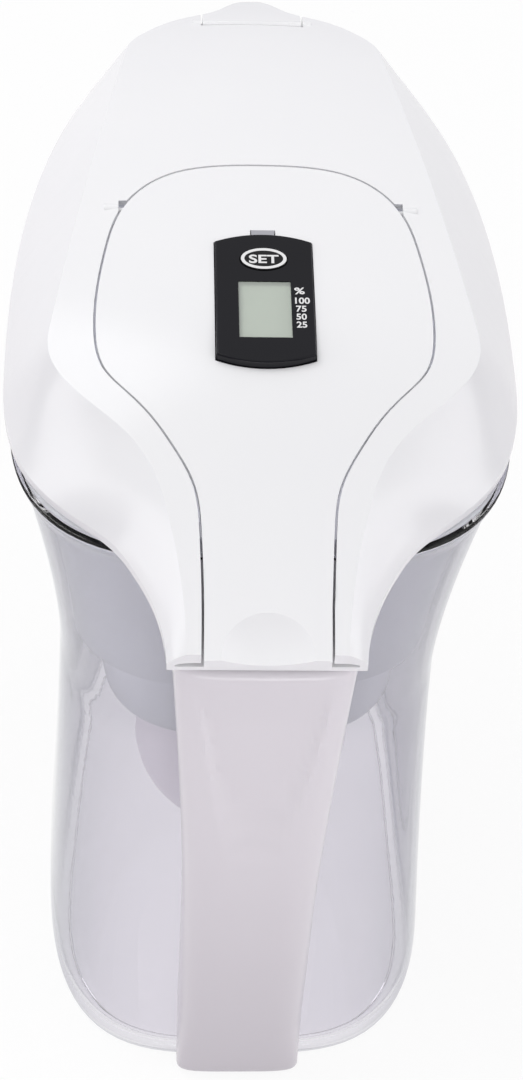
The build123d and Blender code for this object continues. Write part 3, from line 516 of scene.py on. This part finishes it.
def buildHandle():
    low, top, radius, wall = handle["lowZ"], handle["topZ"], handle["endRound"], handle["wall"]
    count = handle["levels"]
    levels = [mix(low + radius, top - radius, step / count) for step in range(count + 1)]
    rounds = quarter(handle["endSteps"])
    outer = [
        handleRow(low + radius * (1 - sine), radius * (1 - cosine), True)
        for sine, cosine in reversed(rounds)
    ]
    outer += [handleRow(z, 0, True) for z in levels[1:-1]]
    outer += [
        handleRow(top - radius * (1 - sine), radius * (1 - cosine), True)
        for sine, cosine in rounds
    ]
    inner = [handleRow(z, wall, False) for z in levels]
    first = len(rounds) - 1
    mesh = bmesh.new()
    skins = [[[mesh.verts.new(point) for point in row] for row in rows] for rows in (outer, inner)]
    outer, inner = skins
    for rows in skins:
        for below, above in zip(rows, rows[1:]):
            for index in range(handle["points"]):
                mesh.faces.new((below[index], below[index + 1], above[index + 1], above[index]))
    for edge in (0, -1):
        for index in range(len(inner) - 1):
            mesh.faces.new((outer[first + index][edge], inner[index][edge],
                            inner[index + 1][edge], outer[first + index + 1][edge]))
    for rows, end in ((outer[:first + 1], inner[0]), (outer[first + len(inner) - 1:][::-1], inner[-1])):
        mesh.faces.new([row[0] for row in rows] + [end[0], end[-1]] + [row[-1] for row in rows[::-1]])
    for row in (outer[0], outer[-1], inner[0], inner[-1]):
        mesh.faces.new(row)
    writeMesh("handleSkin", mesh, "handle_white", "jug", ("handle_cover",), 40)


buildHandle()
print("handle built")


# Printing on the indicator: the scale beside the display, and the button's ring and word
printing = {
    "plateZ": 272.9, "buttonZ": 273.3, "proud": 0.05, "sunk": 0.03, "boldness": 0.022,
    "scale": [
        ("percent", "%", (9.66, -19.39), (2.9, 2.5)),
        ("hundred", "100", (10.38, -23.0), (4.1, 2.3)),
        ("seventyFive", "75", (9.95, -26.0), (2.9, 2.25)),
        ("fifty", "50", (9.95, -28.9), (2.9, 2.25)),
        ("twentyFive", "25", (9.95, -31.8), (2.9, 2.25)),
    ],
    "word": ("setWord", "SET", (0.0, -7.9), (8.3, 3.2)),
    "ringY": -7.7, "ringOuter": (6.4, 3.9), "ringInner": (5.45, 3.0), "ringPoints": 72,
}


def addLettering(name, words, centre, size, z, body):
    curve = bpy.data.curves.new(name, "FONT")
    curve.body = words
    curve.offset = printing["boldness"]
    curve.extrude = 0.02  # any height above nothing, since the mesh is fitted to its box below
    curve.resolution_u = 6
    source = bpy.data.objects.new(name, curve)
    bpy.context.collection.objects.link(source)
    bpy.context.view_layer.update()
    data = bpy.data.meshes.new_from_object(source.evaluated_get(bpy.context.evaluated_depsgraph_get()))
    bpy.data.objects.remove(source)
    mesh = bmesh.new()
    mesh.from_mesh(data)
    bpy.data.meshes.remove(data)
    bmesh.ops.remove_doubles(mesh, verts=mesh.verts, dist=0.0005)
    low = [min(vertex.co[axis] for vertex in mesh.verts) for axis in range(3)]
    high = [max(vertex.co[axis] for vertex in mesh.verts) for axis in range(3)]
    for vertex in mesh.verts:
        shares = [(vertex.co[axis] - low[axis]) / (high[axis] - low[axis]) for axis in range(3)]
        vertex.co = (centre[0] + (shares[0] - 0.5) * size[0], centre[1] + (shares[1] - 0.5) * size[1],
                     z - printing["sunk"] + shares[2] * (printing["sunk"] + printing["proud"]))
    writeMesh(name, mesh, "print_white", body)


def buildPrinting():
    for name, words, centre, size in printing["scale"]:
        addLettering(name, words, centre, size, printing["plateZ"], "indicator")
    name, words, centre, size = printing["word"]
    addLettering(name, words, centre, size, printing["buttonZ"], "set_button")
    rows = []
    low, high = printing["buttonZ"] - printing["sunk"], printing["buttonZ"] + printing["proud"]
    count = printing["ringPoints"]
    ringTurns = [2 * math.pi * step / count for step in range(count)]
    for edge, z in (("ringOuter", low), ("ringOuter", high), ("ringInner", high), ("ringInner", low)):
        across, along = printing[edge]
        rows.append([
            (across * math.cos(turn), printing["ringY"] + along * math.sin(turn), z)
            for turn in ringTurns
        ])
    mesh = bmesh.new()
    stackRows(mesh, rows, joined=True)
    writeMesh("buttonRing", mesh, "print_white", "set_button")


buildPrinting()
print("printing placed")


# Camera, at the view of the photograph
view = {
    "place": (-0.035, -0.505, 0.8085),
    "yaw": 4.6, "pitch": 53.2, "roll": 4.1,
    "focalPixels": 2600, "frameHeight": 1080, "sensor": 36.0,
}


def placeCamera():
    yaw, pitch, roll = (math.radians(view[key]) for key in ("yaw", "pitch", "roll"))
    forward = Vector((math.sin(yaw) * math.cos(pitch), math.cos(yaw) * math.cos(pitch), -math.sin(pitch)))
    right = Vector((math.cos(yaw), -math.sin(yaw), 0))
    up = right.cross(forward)
    turnedRight = math.cos(roll) * right + math.sin(roll) * up
    turnedUp = -math.sin(roll) * right + math.cos(roll) * up
    data = bpy.data.cameras.new("viewCamera")
    data.sensor_width = view["sensor"]
    data.lens = view["sensor"] * view["focalPixels"] / view["frameHeight"]
    camera = bpy.data.objects.new("viewCamera", data)
    bpy.context.collection.objects.link(camera)
    turn = Matrix((turnedRight, turnedUp, -forward)).transposed().to_4x4()
    camera.matrix_world = Matrix.Translation(Vector(view["place"])) @ turn
    bpy.context.scene.camera = camera


placeCamera()


# Floor, backdrop light and lamps; a lamp has its place, target, size and power
studio = {
    "floorSize": 6.0, "floorColour": rgb(250, 250, 250), "floorBounce": rgb(184, 176, 184),
    "floorWhite": 0.86, "floorRoughness": 0.6, "floorGloss": 0.1,
    "worldTop": rgb(255, 255, 255), "topHeight": 0.8, "worldBand": rgb(228, 226, 232), "bandHeight": 0.16,
    "worldLow": rgb(140, 140, 152), "worldStrength": 0.82, "rearShade": 0.45, "rearFade": (-0.85, -0.25),
    "lamps": {
        "keyLamp": ((-0.7, 0.5, 1.5), (0, 0, 0.15), (1.0, 1.0), 6.6),
        "fillLamp": ((0.9, -0.7, 0.9), (0, 0, 0.15), (0.8, 0.8), 1.6),
        "gripLamp": ((0, -0.36, 0.22), (0, -0.12, 0.2), (0.26, 0.08), 0.24),
        "leftLamp": ((-1.0, -0.2, 0.35), (0, -0.05, 0.12), (0.3, 0.6), 1.2),
        "rightLamp": ((1.0, -0.2, 0.35), (0, -0.05, 0.12), (0.3, 0.6), 1.2),
    },
}


def seenShare(nodes, links, share):
    # 1 for what the eye, gloss and clear walls see, times share
    path = nodes.new("ShaderNodeLightPath")
    first = nodes.new("ShaderNodeMath")
    first.operation = "MAXIMUM"
    second = nodes.new("ShaderNodeMath")
    second.operation = "MAXIMUM"
    scaled = nodes.new("ShaderNodeMath")
    scaled.operation = "MULTIPLY"
    scaled.inputs[1].default_value = share
    links.new(path.outputs["Is Camera Ray"], first.inputs[0])
    links.new(path.outputs["Is Glossy Ray"], first.inputs[1])
    links.new(first.outputs["Value"], second.inputs[0])
    links.new(path.outputs["Is Transmission Ray"], second.inputs[1])
    links.new(second.outputs["Value"], scaled.inputs[0])
    return scaled.outputs["Value"]


def buildFloor():
    # the eye, gloss and clear walls see a mostly white floor with a little shadow, other rays a tinted one
    material, nodes, links = newMaterial("paleFloor")
    shader = nodes["Principled BSDF"]
    tone = nodes.new("ShaderNodeMix")
    tone.data_type = "RGBA"
    tone.inputs[6].default_value = studio["floorBounce"]
    tone.inputs[7].default_value = studio["floorColour"]
    links.new(seenShare(nodes, links, 1.0), tone.inputs[0])
    links.new(tone.outputs[2], shader.inputs["Base Color"])
    shader.inputs["Roughness"].default_value = studio["floorRoughness"]
    shader.inputs["Specular IOR Level"].default_value = studio["floorGloss"]
    glow = nodes.new("ShaderNodeEmission")
    both = nodes.new("ShaderNodeMixShader")
    links.new(seenShare(nodes, links, studio["floorWhite"]), both.inputs["Fac"])
    links.new(shader.outputs["BSDF"], both.inputs[1])
    links.new(glow.outputs["Emission"], both.inputs[2])
    links.new(both.outputs["Shader"], nodes["Material Output"].inputs["Surface"])
    half = studio["floorSize"] / 2
    corners = [(-half, -half, 0), (half, -half, 0), (half, half, 0), (-half, half, 0)]
    mesh = bpy.data.meshes.new("floor")
    mesh.from_pydata(corners, [], [(0, 1, 2, 3)])
    mesh.materials.append(material)
    floor = bpy.data.objects.new("floor", mesh)
    bpy.context.collection.objects.link(floor)


def buildWorld():
    world = bpy.data.worlds.new("studio")
    bpy.context.scene.world = world
    world.use_nodes = True
    nodes, links = world.node_tree.nodes, world.node_tree.links
    background = nodes["Background"]
    place = nodes.new("ShaderNodeTexCoord")
    split = nodes.new("ShaderNodeSeparateXYZ")
    ramp = nodes.new("ShaderNodeValToRGB")
    ramp.color_ramp.elements[0].position = 0.0
    ramp.color_ramp.elements[0].color = studio["worldLow"]
    band = ramp.color_ramp.elements.new(studio["bandHeight"])
    band.color = studio["worldBand"]
    ramp.color_ramp.elements[-1].position = studio["topHeight"]
    ramp.color_ramp.elements[-1].color = studio["worldTop"]
    behind = nodes.new("ShaderNodeMapRange")  # the side behind the camera is darker
    behind.interpolation_type = "SMOOTHSTEP"
    behind.inputs["From Min"].default_value = studio["rearFade"][0]
    behind.inputs["From Max"].default_value = studio["rearFade"][1]
    behind.inputs["To Min"].default_value = studio["rearShade"] * studio["worldStrength"]
    behind.inputs["To Max"].default_value = studio["worldStrength"]
    links.new(split.outputs["Y"], behind.inputs["Value"])
    links.new(behind.outputs["Result"], background.inputs["Strength"])
    white = nodes.new("ShaderNodeBackground")
    white.inputs["Color"].default_value = (1, 1, 1, 1)
    both = nodes.new("ShaderNodeMixShader")
    path = nodes.new("ShaderNodeLightPath")
    links.new(place.outputs["Generated"], split.inputs["Vector"])
    links.new(split.outputs["Z"], ramp.inputs["Fac"])
    links.new(ramp.outputs["Color"], background.inputs["Color"])
    links.new(path.outputs["Is Camera Ray"], both.inputs["Fac"])
    links.new(background.outputs["Background"], both.inputs[1])
    links.new(white.outputs["Background"], both.inputs[2])
    links.new(both.outputs["Shader"], nodes["World Output"].inputs["Surface"])


def addLamp(name, place, target, size, power):
    data = bpy.data.lights.new(name, "AREA")
    data.shape = "RECTANGLE"
    data.size, data.size_y = size
    data.energy = power
    lamp = bpy.data.objects.new(name, data)
    bpy.context.collection.objects.link(lamp)
    lamp.location = place
    lamp.rotation_euler = (Vector(target) - Vector(place)).to_track_quat("-Z", "Y").to_euler()


buildFloor()
buildWorld()
for lampName, settings in studio["lamps"].items():
    addLamp(lampName, *settings)
bpy.context.scene.view_settings.view_transform = "Standard"
print("camera, floor and light placed")
